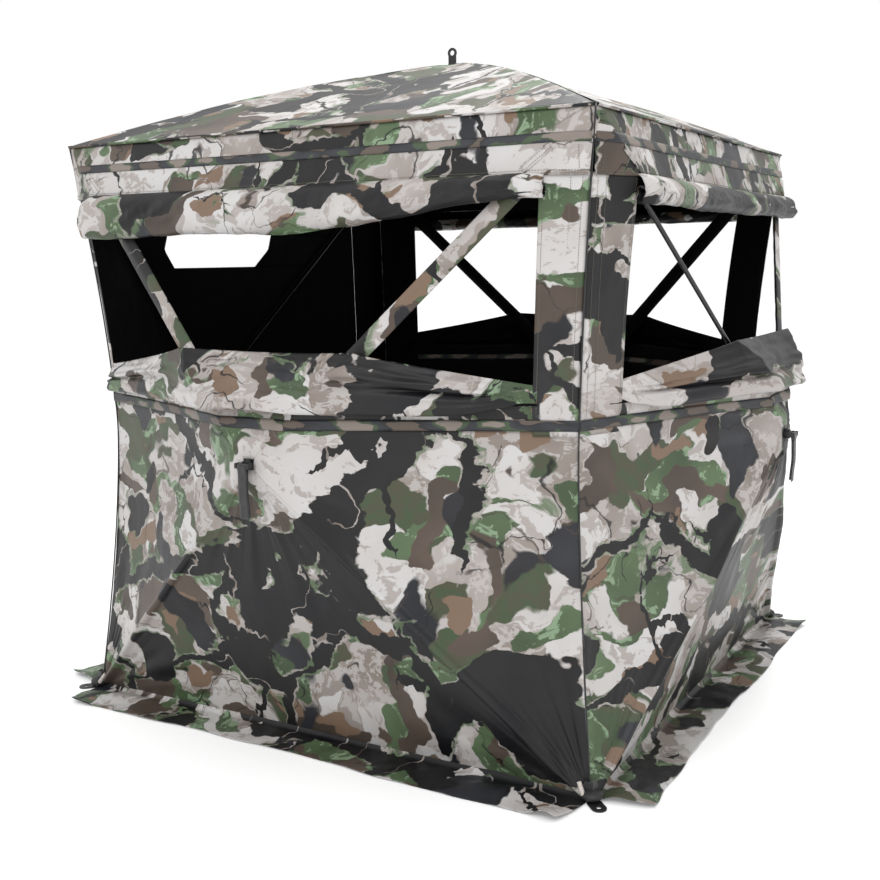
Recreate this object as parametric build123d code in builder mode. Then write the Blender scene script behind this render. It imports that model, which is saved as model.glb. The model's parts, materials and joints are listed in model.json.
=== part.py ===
from build123d import *
import os
import math

# Pop up ground blind with five hubs: four walls and a roof, each pushed out
# into a shallow pyramid by a hub and four rods. Millimetres, +Z up, the front
# wall faces -Y, the ground is Z = 0 and the axis of the roof hub is X = Y = 0.

os.makedirs("parts", exist_ok=True)

# ---- driving dimensions ----
HALF = 740.0            # half the floor, corner to corner
EAVE_Z = 1480.0         # height of the eave corners
HUB_Z = 725.0           # height of the wall hubs
HUB_OUT = 234.0         # how far a wall hub stands out of the corner plane
APEX_Z = 1723.0         # top of the roof cloth
BOW = 55.0              # how far a corner seam bows in along each wall
WAIST_Z = 805.0         # seam between lower wall and window
VALANCE_Z = 1342.0      # lower edge of the band under the eave
CLOTH = 2.0             # thickness of one layer of cloth
POST_W = 116.0          # width of a corner post on each wall
PATCH_W = 150.0         # half the width of a hub patch
PATCH_LOW = 146.0       # how far the patch reaches below the hub
PATCH_UP = 72.0         # how far the patch reaches above the hub
SKIRT_W = 124.0         # width of the ground skirt

ROD_R = 5.5             # fibreglass rod
CAP_R = 7.0             # rubber cap on the rod's end
FERRULE_R = 7.0         # steel ferrule at the hub end
ROD_L = 975.0           # wall rod, from its hinge pin to its tip
ROOF_ROD_L = 960.0      # roof rod, from its hinge pin to its tip
PIVOT_R = 30.0          # hinge pin to hub axis
PIN_R = 3.0             # hinge pin
PIN_GAP = 0.05          # running clearance round a hinge pin
HUB_R = 44.0            # hub body
HUB_T = 26.0
PIVOT_OUT = 944.0       # hinge pins of a wall hub, from the blind's axis
AIM_OUT = 722.0         # plane of the rods' tips
ROOF_PIVOT_Z = 1693.0   # hinge pins of the roof hub
ROOF_AIM_Z = 1462.0
ROOF_AIM_R = 1021.5

STRAP_W = 27.0          # webbing pull strap
STRAP_L = 125.0
STRAP_T = 3.0

WALLS = {"front": 0.0, "right": 90.0, "back": 180.0, "left": 270.0}
NARROW_POST_W = 20.0    # width of a post that is only the bound edge of the window
NARROW_POSTS = [("front", -1), ("right", 1)]
FRONT_POST_W = 92.0     # the front wall's wide post shows a narrower face
BARE_RODS = [("left", "upper_left"), ("left", "upper_right"), ("right", "upper_left")]
HUB_W = HALF + HUB_OUT


def place(wall, u, v, w):
    """A point of a wall: u along it, v up and w out from the blind's axis."""
    a = math.radians(WALLS[wall])
    return Vector(u * math.cos(a) + w * math.sin(a), u * math.sin(a) - w * math.cos(a), v)


def facet(kind, side=1):
    """Three points (u, v, w) of one flat field of a wall."""
    top = (side * HALF, EAVE_Z, HALF)
    bottom = (side * HALF, 0.0, HALF)
    middle = (side * (HALF - BOW), WAIST_Z, HALF - BOW)
    hub = (0.0, HUB_Z, HUB_W)
    fields = {
        "top": ((-HALF, EAVE_Z, HALF), (HALF, EAVE_Z, HALF), hub),
        "bottom": ((-HALF, 0.0, HALF), (HALF, 0.0, HALF), hub),
        "upper": (top, middle, hub),
        "lower": (bottom, middle, hub),
        "straight": (top, bottom, hub),
    }
    return [Vector(*p) for p in fields[kind]]


def out_of(kind, side, u, v):
    """How far out a field lies at (u, v)."""
    a, b, c = facet(kind, side)
    n = (b - a).cross(c - a)
    return a.Z - (n.X * (u - a.X) + n.Y * (v - a.Y)) / n.Z


def rod_line(v):
    """Half the distance between a wall's two rod lines at height v."""
    if v > HUB_Z:
        return HALF * (v - HUB_Z) / (EAVE_Z - HUB_Z)
    return HALF * (HUB_Z - v) / HUB_Z


def seam(v):
    """Distance of the corner seam from the wall's middle at height v."""
    if v > WAIST_Z:
        return HALF - BOW * (EAVE_Z - v) / (EAVE_Z - WAIST_Z)
    return HALF - BOW * v / WAIST_Z


def sheet_plane(points, away):
    """The plane through three points, facing away from a point."""
    normal = (points[1] - points[0]).cross(points[2] - points[0]).normalized()
    if normal.dot(points[0] - away) < 0:
        normal = -normal
    return Plane(origin=points[0], x_dir=(points[1] - points[0]).normalized(), z_dir=normal)


def panel(points, lift, thick):
    """Adds a flat convex piece of cloth, lifted off the plane of its points."""
    plane = sheet_plane(points, Vector(0, 0, 700))
    flat = [plane.to_local_coords(p) for p in points]
    with BuildSketch(plane.offset(lift)) as outline:
        with BuildLine():
            Polyline(*[(p.X, p.Y) for p in flat], close=True)
        make_face()
    extrude(outline.sketch, amount=thick)


def field_panel(wall, kind, side, outline, lift=0.0, thick=CLOTH):
    """Adds a piece of a wall's field, from its outline in (u, v)."""
    points = [place(wall, u, v, out_of(kind, side, u, v)) for u, v in outline]
    panel(points, lift, thick)


def lower_wall(wall, sides=(-1, 1)):
    """Adds the closed wall below the waist."""
    low = HUB_Z - PATCH_LOW - 6
    near = PATCH_W + 8
    foot = rod_line(4) - 4
    head = rod_line(low) - 3
    field_panel(wall, "bottom", 1, [(-foot, 4), (foot, 4), (head, low), (-head, low)])
    slope = (WAIST_Z - HUB_Z) / (HALF - BOW)
    for s in sides:
        rod_v = HUB_Z - HUB_Z * near / HALF
        line_v = HUB_Z + slope * near
        field_panel(wall, "lower", s, [
            (s * near, rod_v + 4), (s * (HALF - 4), 10), (s * (HALF - BOW - 3), WAIST_Z - 5),
            (s * near, line_v - 2)])
        field_panel(wall, "upper", s, [
            (s * near, line_v + 2), (s * (HALF - BOW - 18), WAIST_Z - 1),
            (s * near, WAIST_Z - 1)])


# ---- closed lower walls ----
with BuildPart() as front_wall_panel:
    lower_wall("front")
with BuildPart() as right_wall_panel:
    lower_wall("right")
with BuildPart() as back_wall_panel:
    lower_wall("back")

# The left wall is closed up to the band, round a small view port. Its rear
# side is the door.
PORT_LOW = 1160.0
PORT_HIGH = 1266.0
PORT_FRONT = 330.0
PORT_REAR = -163.0
with BuildPart() as left_wall_panel:
    lower_wall("left", sides=(1,))
    band = VALANCE_Z - 2
    field_panel("left", "top", 1, [
        (3 - rod_line(band), band), (rod_line(band) - 3, band),
        (rod_line(PORT_HIGH) - 3, PORT_HIGH), (3 - rod_line(PORT_HIGH), PORT_HIGH)])
    field_panel("left", "top", 1, [
        (3 - rod_line(PORT_HIGH), PORT_HIGH - 1), (PORT_REAR, PORT_HIGH - 1),
        (PORT_REAR, PORT_LOW), (3 - rod_line(PORT_LOW), PORT_LOW)])
    field_panel("left", "top", 1, [
        (PORT_FRONT, PORT_HIGH - 1), (rod_line(PORT_HIGH) - 4, PORT_HIGH - 1),
        (rod_line(PORT_LOW) - 3, PORT_LOW), (PORT_FRONT, PORT_LOW)])
    field_panel("left", "top", 1, [
        (3 - rod_line(PORT_LOW), PORT_LOW - 1), (rod_line(PORT_LOW) - 3, PORT_LOW - 1),
        (rod_line(WAIST_Z + 30) - 3, WAIST_Z + 30), (3 - rod_line(WAIST_Z + 30), WAIST_Z + 30)])
    post_in = seam(band) - POST_W - 4
    field_panel("left", "upper", 1, [
        (rod_line(WAIST_Z + 30) + 4, WAIST_Z + 30), (seam(WAIST_Z) - POST_W - 4, WAIST_Z + 30),
        (post_in - 6, HUB_Z + (EAVE_Z - HUB_Z) * (post_in - 6) / HALF - 5)])

# ---- corner posts above the waist, all but the left wall's rear one ----
def post_width(wall, s):
    """Width of the post on one side of a wall."""
    if (wall, s) == ("front", 1):
        return FRONT_POST_W
    return NARROW_POST_W if (wall, s) in NARROW_POSTS else POST_W


with BuildPart() as corner_posts:
    for wall in WALLS:
        for s in (-1, 1):
            if wall == "left" and s == -1:
                continue
            low, high = WAIST_Z + 30, VALANCE_Z - 2
            wide = post_width(wall, s)
            field_panel(wall, "upper", s, [
                (s * (seam(low) - wide), low), (s * (seam(low) - 3), low),
                (s * (seam(high) - 3), high), (s * (seam(high) - wide), high)])

# ---- band under the eave ----
with BuildPart() as eave_valance:
    for wall in WALLS:
        low, high = VALANCE_Z, EAVE_Z - 2
        field_panel(wall, "top", 1, [
            (4 - rod_line(low), low), (rod_line(low) - 4, low),
            (rod_line(high) - 4, high), (4 - rod_line(high), high)])
        for s in (-1, 1):
            if wall == "left" and s == -1:
                continue
            field_panel(wall, "upper", s, [
                (s * (rod_line(low) + 4), low), (s * (seam(low) - 3), low),
                (s * (seam(high - 14) - 3), high - 14)])

# ---- brush straps round the band and the waist ----
with BuildPart() as brush_straps:
    for wall in WALLS:
        low, high = 1404.0, 1430.0
        field_panel(wall, "top", 1, [
            (8 - rod_line(low), low), (rod_line(low) - 8, low),
            (rod_line(high) - 8, high), (8 - rod_line(high), high)], CLOTH + 1, CLOTH)
        low, high = WAIST_Z + 1, WAIST_Z + 27
        field_panel(wall, "top", 1, [
            (6 - rod_line(low), low), (rod_line(low) - 6, low),
            (rod_line(high) - 6, high), (6 - rod_line(high), high)], CLOTH + 1, CLOTH)
        for s in (-1, 1):
            if wall == "left" and s == -1:
                continue
            field_panel(wall, "upper", s, [
                (s * (rod_line(low) + 6), low), (s * (seam(low) - 3), low),
                (s * (seam(high) - 3), high), (s * (rod_line(high) + 6), high)],
                CLOTH + 1, CLOTH)

# ---- roof cloth in four fields ----
ROOF_HOLE = 80.0


def roof_z(w):
    """Height of the roof cloth at a distance out from the blind's axis."""
    return APEX_Z - (APEX_Z - EAVE_Z) * w / HALF


with BuildPart() as roof_canopy:
    for wall in WALLS:
        edge = HALF - 3
        panel([place(wall, -edge + 4, roof_z(edge), edge), place(wall, edge - 4, roof_z(edge), edge),
               place(wall, ROOF_HOLE - 4, roof_z(ROOF_HOLE), ROOF_HOLE),
               place(wall, 4 - ROOF_HOLE, roof_z(ROOF_HOLE), ROOF_HOLE)], 1.0, CLOTH)

# ---- skirt lying on the ground, one flap to each wall ----
with BuildPart() as ground_skirt:
    for wall in WALLS:
        inner, outer = HALF + 5, HALF + 5 + SKIRT_W
        panel([place(wall, 5 - HALF, 0, inner), place(wall, HALF - 5, 0, inner),
               place(wall, HALF - 5, 0, outer), place(wall, 5 - HALF, 0, outer)], -2.5, 2.5)

# ---- corner boots with a stake eyelet ----
EYELET_R = 6.0
EYELET_AT = 772.0
with BuildPart() as corner_boots:
    for turn in range(4):
        with BuildSketch(Plane.XY.rotated((0, 0, 90 * turn))) as tab:
            with Locations((EYELET_AT - 8, -EYELET_AT + 8)):
                SlotOverall(60, 34, rotation=-45)
            with Locations((EYELET_AT, -EYELET_AT)):
                Circle(EYELET_R, mode=Mode.SUBTRACT)
        extrude(amount=3)

# ---- rolled window flaps and dropped lower flaps ----
ROLL_END = 598.0        # where a roll ends in front of a wide post
ROLL_OPEN_END = 690.0   # and at a corner with a narrow one
ROLLS = {"front": (1292.0, 44.0, 19.0), "right": (1309.0, 28.0, 17.0), "back": (1309.0, 28.0, 17.0)}


def roll(wall):
    """A flattened roll of cloth hanging under the band, clear of the rods."""
    v, tall, deep = ROLLS[wall]
    w = out_of("top", 1, 0, v) + deep + 6
    left, right = (ROLL_OPEN_END if (wall, s) in NARROW_POSTS else ROLL_END for s in (-1, 1))
    plane = Plane(origin=place(wall, -left, v, w), x_dir=place(wall, 0, 0, 1),
                  z_dir=place(wall, 1, 0, 0))
    with BuildSketch(plane) as section:
        Ellipse(deep, tall)
    extrude(section.sketch, amount=left + right)


def lower_flap(wall):
    """The lower half of a window, dropped and gathered over the waist."""
    low, high = WAIST_Z + 31, 978.0
    field_panel(wall, "top", 1, [
        (6 - rod_line(low), low), (rod_line(low) - 6, low),
        (rod_line(high) - 6, high), (6 - rod_line(high), high)], CLOTH + 3, 12)
    for s in (-1, 1):
        edge = seam(low) - post_width(wall, s) + 12
        field_panel(wall, "upper", s, [
            (s * (rod_line(low) + 6), low), (s * edge, low), (s * edge, 905),
            (s * (rod_line(high) + 6), high)], CLOTH + 3, 12)


with BuildPart() as front_window_roll:
    roll("front")
with BuildPart() as right_window_roll:
    roll("right")
with BuildPart() as back_window_roll:
    roll("back")
with BuildPart() as front_lower_flap:
    lower_flap("front")
with BuildPart() as right_lower_flap:
    lower_flap("right")
with BuildPart() as back_lower_flap:
    lower_flap("back")

# ---- door in the rear side of the left wall ----
DOOR_EDGE = 621.0       # the door's hinge line, from the wall's middle


def rod_v(u, way):
    """Height of a wall's rod line at a distance from the wall's middle."""
    if way > 0:
        return HUB_Z + (EAVE_Z - HUB_Z) * u / HALF
    return HUB_Z - HUB_Z * u / HALF


with BuildPart() as door_post:
    field_panel("left", "straight", -1, [
        (-HALF + 4, rod_v(HALF - 4, 1) - 8), (-HALF + 4, rod_v(HALF - 4, -1) + 10),
        (-DOOR_EDGE - 1, rod_v(DOOR_EDGE, -1) + 6), (-DOOR_EDGE - 1, rod_v(DOOR_EDGE, 1) - 6)],
        1.0)
with BuildPart() as door_panel:
    near = PATCH_W + 12
    field_panel("left", "straight", -1, [
        (-DOOR_EDGE + 1, rod_v(DOOR_EDGE, 1) - 8), (-DOOR_EDGE + 1, rod_v(DOOR_EDGE, -1) + 8),
        (-near, rod_v(near, -1) + 6), (-near, rod_v(near, 1) - 6)], 1.0)

soft = [
    (front_wall_panel, "front_wall_panel"), (right_wall_panel, "right_wall_panel"),
    (back_wall_panel, "back_wall_panel"), (left_wall_panel, "left_wall_panel"),
    (corner_posts, "corner_posts"), (eave_valance, "eave_valance"),
    (brush_straps, "brush_straps"), (roof_canopy, "roof_canopy"),
    (ground_skirt, "ground_skirt"), (corner_boots, "corner_boots"),
    (front_window_roll, "front_window_roll"), (right_window_roll, "right_window_roll"),
    (back_window_roll, "back_window_roll"), (front_lower_flap, "front_lower_flap"),
    (right_lower_flap, "right_lower_flap"), (back_lower_flap, "back_lower_flap"),
    (door_post, "door_post"), (door_panel, "door_panel"),
]
for built, label in soft:
    built.part.label = label
    export_step(built.part, f"parts/{label}.step")

# ---- hub: a slotted disc with four hinge pins, and a boss for the pull ----
# Built once about its own axis: +Z out of the wall, X along the wall and Y up.
UP_TURN = math.degrees(math.atan2(EAVE_Z - HUB_Z, HALF))
DOWN_TURN = math.degrees(math.atan2(HUB_Z, HALF))
WALL_TURNS = (UP_TURN, 180 - UP_TURN, 180 + DOWN_TURN, -DOWN_TURN)
ROOF_TURNS = (45.0, 135.0, 225.0, 315.0)
EAR_OUT = 38.0          # pull strap's pin, out from the hinge pins


def hub_solid(turns, with_ears):
    """One hub about the origin, its hinge pins in the plane Z = 0."""
    with BuildPart() as hub:
        with BuildSketch(Plane.XY.offset(-HUB_T / 2)):
            Circle(HUB_R)
        extrude(amount=HUB_T)
        for turn in turns:
            with BuildSketch(Plane.XY.offset(-HUB_T / 2).rotated((0, 0, turn))):
                with Locations((PIVOT_R + 6, 0)):
                    Rectangle(34, 10.6)
            extrude(amount=HUB_T, mode=Mode.SUBTRACT)
        for turn in turns:
            a = math.radians(turn)
            across = Vector(-math.sin(a), math.cos(a), 0)
            middle = Vector(PIVOT_R * math.cos(a), PIVOT_R * math.sin(a), 0)
            with BuildSketch(Plane(origin=middle - across * 7, z_dir=across)):
                Circle(PIN_R)
            extrude(amount=14)
        with BuildSketch(Plane.XY.offset(HUB_T / 2)):
            Circle(12)
        extrude(amount=15)
        if with_ears:
            with BuildSketch(Plane.XY.offset(28)):
                Rectangle(39, 12)
            extrude(amount=3)
            with BuildSketch(Plane.XY.offset(31)):
                with Locations((-17, 0), (17, 0)):
                    Rectangle(5, 12)
            extrude(amount=13)
            with BuildSketch(Plane.YZ.offset(-18)):
                with Locations((0, EAR_OUT)):
                    Circle(PIN_R)
            extrude(amount=36)
    return hub.part


def patch_solid(half_u, up, down, slope, top_half):
    """A shallow four-sided cap of cloth over a hub, open at its middle."""
    height = slope * (half_u - top_half)
    with BuildPart() as patch:
        for shift, mode in ((0.0, Mode.ADD), (-2.5, Mode.SUBTRACT)):
            with BuildSketch(Plane.XY.offset(27 - height + shift)):
                Rectangle(2 * half_u, 2 * half_u)
            with BuildSketch(Plane.XY.offset(27 + shift)):
                Rectangle(2 * top_half, 2 * top_half)
            loft(mode=mode)
        with BuildSketch(Plane.XY.offset(-60)):
            with Locations((0, (up - down) / 2)):
                Rectangle(2 * half_u, up + down)
        extrude(amount=100, mode=Mode.INTERSECT)
        with BuildSketch(Plane.XY.offset(20)):
            Circle(14)
        extrude(amount=10, mode=Mode.SUBTRACT)
    return patch.part


def rod_solid(length):
    """A rod along +X from its hinge pin at the origin, with ferrule and cap."""
    with BuildPart() as rod:
        with BuildSketch(Plane.XZ.offset(-5)):
            Circle(7.5)
            with Locations((11, 0)):
                Rectangle(22, 11)
        extrude(amount=10)
        with BuildSketch(Plane.YZ.offset(18)):
            Circle(FERRULE_R)
        extrude(amount=52)
        with BuildSketch(Plane.YZ.offset(60)):
            Circle(ROD_R)
        extrude(amount=length - 70)
        with BuildSketch(Plane.YZ.offset(length - 28)):
            Circle(CAP_R)
        extrude(amount=28)
        fillet(rod.faces().sort_by(Axis.X)[-1].edges(), 3)
        with BuildSketch(Plane.XZ.offset(-8)):
            Circle(PIN_R + PIN_GAP)
        extrude(amount=16, mode=Mode.SUBTRACT)
    return rod.part


def sleeve_solid(start, end):
    """A flat cloth sleeve lying on the outer side of a rod."""
    with BuildPart() as sleeve:
        with BuildSketch(Plane.XY.offset(7.6)):
            with Locations(((start + end) / 2, 0)):
                Rectangle(end - start, 43)
        extrude(amount=1.6)
    return sleeve.part


def strap_solid():
    """A webbing pull hanging along -Y from its pin, which lies along X."""
    with BuildPart() as strap:
        with BuildSketch(Plane.YZ.offset(-STRAP_W / 2)):
            Circle(6)
            with Locations((-STRAP_L / 2, 0)):
                Rectangle(STRAP_L, STRAP_T)
            Circle(PIN_R + PIN_GAP, mode=Mode.SUBTRACT)
        extrude(amount=STRAP_W)
    return strap.part


def tab_solid():
    """The roof's upright pull tab with its ring hole."""
    with BuildPart() as tab:
        with BuildSketch(Plane.XZ.offset(-1.5)):
            with Locations((0, 43)):
                Rectangle(24, 30)
            with Locations((0, 58)):
                Circle(14)
            with Locations((0, 58)):
                Circle(7, mode=Mode.SUBTRACT)
        extrude(amount=3)
    return tab.part


def hub_plane(wall):
    """The frame of a wall hub: X along the wall, Z out of it."""
    return Plane(origin=place(wall, 0, HUB_Z, PIVOT_OUT), x_dir=place(wall, 1, 0, 0),
                 z_dir=place(wall, 0, 0, 1))


def rod_plane(origin, along, out):
    """A rod's frame: X along the rod, Z towards the cloth."""
    across = out.cross(along).normalized()
    return Plane(origin=origin, x_dir=along, z_dir=along.cross(across))


wall_hub = hub_solid(WALL_TURNS, True)
roof_hub_shape = hub_solid(ROOF_TURNS, False)
wall_patch = patch_solid(PATCH_W, PATCH_UP, PATCH_LOW, 0.31, 20.0)
roof_patch = patch_solid(72.0, 72.0, 72.0, 0.32, 16.0)
pull_strap = strap_solid()
wall_rod = rod_solid(ROD_L)
roof_rod = rod_solid(ROOF_ROD_L)
sleeve_shape = sleeve_solid(125.0, 830.0)

for wall in WALLS:
    plane = hub_plane(wall)
    hub = plane.location * wall_hub
    hub.label = f"{wall}_hub"
    export_step(hub, f"parts/{wall}_hub.step")
    patch = plane.location * wall_patch
    patch.label = f"{wall}_hub_patch"
    export_step(patch, f"parts/{wall}_hub_patch.step")
    strap = plane.offset(EAR_OUT).location * pull_strap
    strap.label = f"{wall}_pull_strap"
    export_step(strap, f"parts/{wall}_pull_strap.step")
    for name, u_way, v_way in (("upper_left", -1, 1), ("upper_right", 1, 1),
                               ("lower_left", -1, -1), ("lower_right", 1, -1)):
        rise = EAVE_Z - HUB_Z if v_way > 0 else -HUB_Z
        reach = math.hypot(HALF, rise)
        du, dv = u_way * HALF / reach, rise / reach
        pivot = place(wall, du * PIVOT_R, HUB_Z + dv * PIVOT_R, PIVOT_OUT)
        aim = place(wall, du * reach, HUB_Z + dv * reach, AIM_OUT)
        frame = rod_plane(pivot, (aim - pivot).normalized(), place(wall, 0, 0, 1))
        rod = frame.location * wall_rod
        rod.label = f"{wall}_rod_{name}"
        export_step(rod, f"parts/{wall}_rod_{name}.step")
        if v_way > 0 and (wall, name) not in BARE_RODS:
            sleeve = frame.location * sleeve_shape
            sleeve.label = f"{wall}_sleeve_{name[6:]}"
            export_step(sleeve, f"parts/{wall}_sleeve_{name[6:]}.step")

roof_frame = Plane(origin=(0, 0, ROOF_PIVOT_Z), x_dir=(1, 0, 0), z_dir=(0, 0, 1))
roof_hub = roof_frame.location * roof_hub_shape
roof_hub.label = "roof_hub"
export_step(roof_hub, "parts/roof_hub.step")
roof_hub_patch = roof_frame.location * roof_patch
roof_hub_patch.label = "roof_hub_patch"
export_step(roof_hub_patch, "parts/roof_hub_patch.step")
roof_pull_tab = roof_frame.location * tab_solid()
roof_pull_tab.label = "roof_pull_tab"
export_step(roof_pull_tab, "parts/roof_pull_tab.step")
for name, x_way, y_way in (("front_left", -1, -1), ("front_right", 1, -1),
                           ("back_left", -1, 1), ("back_right", 1, 1)):
    along = Vector(x_way, y_way, 0).normalized()
    pivot = along * PIVOT_R + Vector(0, 0, ROOF_PIVOT_Z)
    aim = along * ROOF_AIM_R + Vector(0, 0, ROOF_AIM_Z)
    frame = rod_plane(pivot, (aim - pivot).normalized(), Vector(0, 0, 1))
    rod = frame.location * roof_rod
    rod.label = f"roof_rod_{name}"
    export_step(rod, f"parts/roof_rod_{name}.step")
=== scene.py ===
import json
import math

import bmesh
import bpy
import numpy as np
from mathutils import Euler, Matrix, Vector, noise


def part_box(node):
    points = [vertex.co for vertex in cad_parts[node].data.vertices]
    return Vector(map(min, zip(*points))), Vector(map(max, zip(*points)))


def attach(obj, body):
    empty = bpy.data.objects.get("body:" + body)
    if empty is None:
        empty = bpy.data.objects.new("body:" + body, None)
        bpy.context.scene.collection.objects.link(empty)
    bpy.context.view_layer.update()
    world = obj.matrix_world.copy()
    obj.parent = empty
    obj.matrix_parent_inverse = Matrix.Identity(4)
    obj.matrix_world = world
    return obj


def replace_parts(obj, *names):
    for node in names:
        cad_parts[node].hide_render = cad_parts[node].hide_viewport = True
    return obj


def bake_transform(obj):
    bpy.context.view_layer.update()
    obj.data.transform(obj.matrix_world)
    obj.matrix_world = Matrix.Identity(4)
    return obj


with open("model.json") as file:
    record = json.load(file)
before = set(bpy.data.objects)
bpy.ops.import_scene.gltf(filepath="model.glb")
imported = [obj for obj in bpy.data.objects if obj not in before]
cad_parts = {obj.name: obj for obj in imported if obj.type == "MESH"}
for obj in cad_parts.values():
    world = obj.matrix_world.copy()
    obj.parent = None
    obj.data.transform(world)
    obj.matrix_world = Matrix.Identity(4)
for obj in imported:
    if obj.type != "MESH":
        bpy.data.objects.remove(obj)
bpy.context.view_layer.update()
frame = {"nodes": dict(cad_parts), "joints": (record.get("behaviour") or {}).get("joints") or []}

# The blind's main dimensions, in metres, worked out from the frame.
WALLS = {"front": 0, "right": 90, "back": 180, "left": 270}
HALF = 0.740  # half the floor, corner to corner
EAVE_Z = 1.480
HUB_Z = (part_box("front_hub")[0].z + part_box("front_hub")[1].z) / 2
HUB_OUT = 0.234  # how far a wall hub stands out
APEX_Z = 1.723
WAIST_Z = 0.805
CLOTH_TOP = WAIST_Z + 0.006  # top edge of the lower walls, under the waist tape
VALANCE_Z = 1.342
BOW = 0.058  # inward bow of the corner seams
POST_W = 0.116
FRONT_POST_W = 0.092  # the front wall's wide post shows a narrower face
SKIRT_W = 0.124
CLOTH = 0.0012
STRAP_OUT = 0.0045  # straps and tapes stand this far off the cloth
RIM = 0.92  # where the cloth would start to follow a hub; worked out, not applied
CORE = -0.04  # and where it would follow it wholly
OPEN_HUB = 0.017  # the hole over a hub, as a share of the half width
HUB_FACE = 0.9605  # the cloth lies flat on the hub's face, this far out
HUB_CAP = 0.046  # and to this radius
THIN_POST = 0.020  # the posts that are no more than a bound edge
NARROW = (("front", -1), ("right", 1))  # the window reaches the corner at these posts
POST_LIFT = 0.0060  # the posts' face, off the line of the cloth
FOOT_Z = 0.003  # lower edge of the walls
HEM_Z = 0.978  # top edge of the dropped flaps
BAND_LIFT = 0.009  # the band's lower edge hangs this far off the wall
STITCH_OUT = 0.0006  # stitches stand this far off the cloth
MIDDLE = Vector((0, 0, 0.7))  # the cloth's outer faces look away from this point
SIDES = ((-1, "left"), (1, "right"))

CAMERA_AT = (1.6588, -2.9696, 1.1751)
CAMERA_YAW = 30.02
CAMERA_PITCH = -8.85
CAMERA_ROLL = -0.77
CAMERA_LENS = 47.4


# Shape of the stretched cloth
def place(wall, u, v, w):
    """A point of a wall: u along it, v up, w out from the blind's axis."""
    a = math.radians(WALLS[wall])
    return Vector((u * math.cos(a) + w * math.sin(a), u * math.sin(a) - w * math.cos(a), v))


def smooth(x, low, high):
    t = min(1.0, max(0.0, (x - low) / (high - low)))
    return t * t * (3 - 2 * t)


def rod_line(v):
    """Half the distance between a wall's two rod lines at height v."""
    if v > HUB_Z:
        return HALF * (v - HUB_Z) / (EAVE_Z - HUB_Z)
    return HALF * (HUB_Z - v) / HUB_Z


def bow(v):
    return BOW * max(0.0, 1 - abs((v - 0.74) / 0.74) ** 1.5)


def seam(v):
    """Distance of the corner seam from the wall's middle at height v."""
    return HALF - bow(v)


def crowd(t):
    """Moves evenly spaced columns closer together near both ends."""
    return 0.4 * t + 0.6 * (0.5 - 0.5 * math.cos(math.pi * t))


def noise_at(x, y, z=0.0):
    return noise.noise(Vector((x, y, z)))


def cloth_out(wall, u, v, wrinkle=1.0):
    """How far out the cloth of a wall lies at (u, v), with its tension folds."""
    side = abs(u)
    rod = rod_line(v)
    share = max(side / HALF, abs(v - HUB_Z) / (EAVE_Z - HUB_Z if v > HUB_Z else HUB_Z))
    if side <= rod:
        w = HALF + HUB_OUT * (1 - rod / HALF)
        across = side / max(rod, 1e-6)
        w -= 0.020 * (1 - across * across) * max(0.0, math.sin(math.pi * min(1.0, rod / HALF))) ** 0.8
    else:
        edge = seam(v)
        reach = max(edge - rod, 1e-6)
        t = min(1.0, (side - rod) / reach)
        ridge = HALF + HUB_OUT * (1 - rod / HALF)
        w = ridge + (edge - ridge) * t
        w -= 0.010 * math.sin(math.pi * t) * smooth(reach, 0.0, 0.5)
    peak = HALF + HUB_OUT - 0.008
    gap = peak - w
    if gap < 0.03:
        w = peak - math.sqrt(max(gap, 0.0) ** 2 + 0.008 ** 2)
    from_hub = math.hypot(side, v - HUB_Z)
    w = max(w, w + (HUB_FACE - w) * (1 - smooth(from_hub, HUB_CAP, HUB_CAP + 0.034)))
    if v < HUB_Z:
        off_rod = (side - rod) * 0.7
        w += 0.0125 * math.sqrt(max(0.0, 1 - (off_rod / 0.0125) ** 2)) * smooth(share, 0.22, 0.45)
    if wrinkle:
        w += wrinkle * folds(wall, u, v, share)
    return w


def folds(wall, u, v, share):
    """Small folds: pleats that fan out from the corners and the hub, and a soft crumple."""
    seed = WALLS[wall] * 0.37 + 3.1
    total = 0.0
    for cu, cv, strength in ((-HALF, 0.0, 1.0), (HALF, 0.0, 1.0), (0.0, HUB_Z, 0.6)):
        du, dv = u - cu, v - cv
        dist = math.hypot(du, dv)
        angle = math.atan2(dv, du)
        near = smooth(dist, 0.03, 0.12) * (1 - smooth(dist, 0.22, 0.80))
        total += 0.0100 * strength * noise_at(angle * 6 + seed, dist * 0.9, seed + cu * 3) * near
        near = smooth(dist, 0.03, 0.09) * (1 - smooth(dist, 0.14, 0.42))
        total += 0.0062 * strength * noise_at(angle * 19 + seed, dist * 1.4, seed + cu * 5) * near
    total += 0.0042 * noise_at(u * 3.6 + seed, v * 2.7, 1.7)
    total += 0.0020 * noise_at((u + v) * 9 + seed, (u - v) * 4, 5.2)
    total += 0.0010 * noise_at(u * 24 + seed, v * 17, 8.2)
    return total * smooth(1 - share, 0.0, 0.05)


# Meshes
def grid_object(name, rows):
    """A mesh from rows of (point, place on the cloth) pairs; the place becomes a UV map in metres."""
    high, wide = len(rows), len(rows[0])
    verts = [tuple(p) for row in rows for p, _ in row]
    faces = []
    spots = []
    for i in range(high - 1):
        for j in range(wide - 1):
            corner = [(i, j), (i, j + 1), (i + 1, j + 1), (i + 1, j)]
            faces.append([a * wide + b for a, b in corner])
            spots += [rows[a][b][1] for a, b in corner]
    mesh = bpy.data.meshes.new(name)
    mesh.from_pydata(verts, [], faces)
    layer = mesh.uv_layers.new(name="Cloth")
    layer.data.foreach_set("uv", np.array(spots, np.float32).ravel())
    mesh.validate()
    mesh.polygons.foreach_set("use_smooth", [True] * len(mesh.polygons))
    obj = bpy.data.objects.new(name, mesh)
    bpy.context.scene.collection.objects.link(obj)
    return obj


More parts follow.
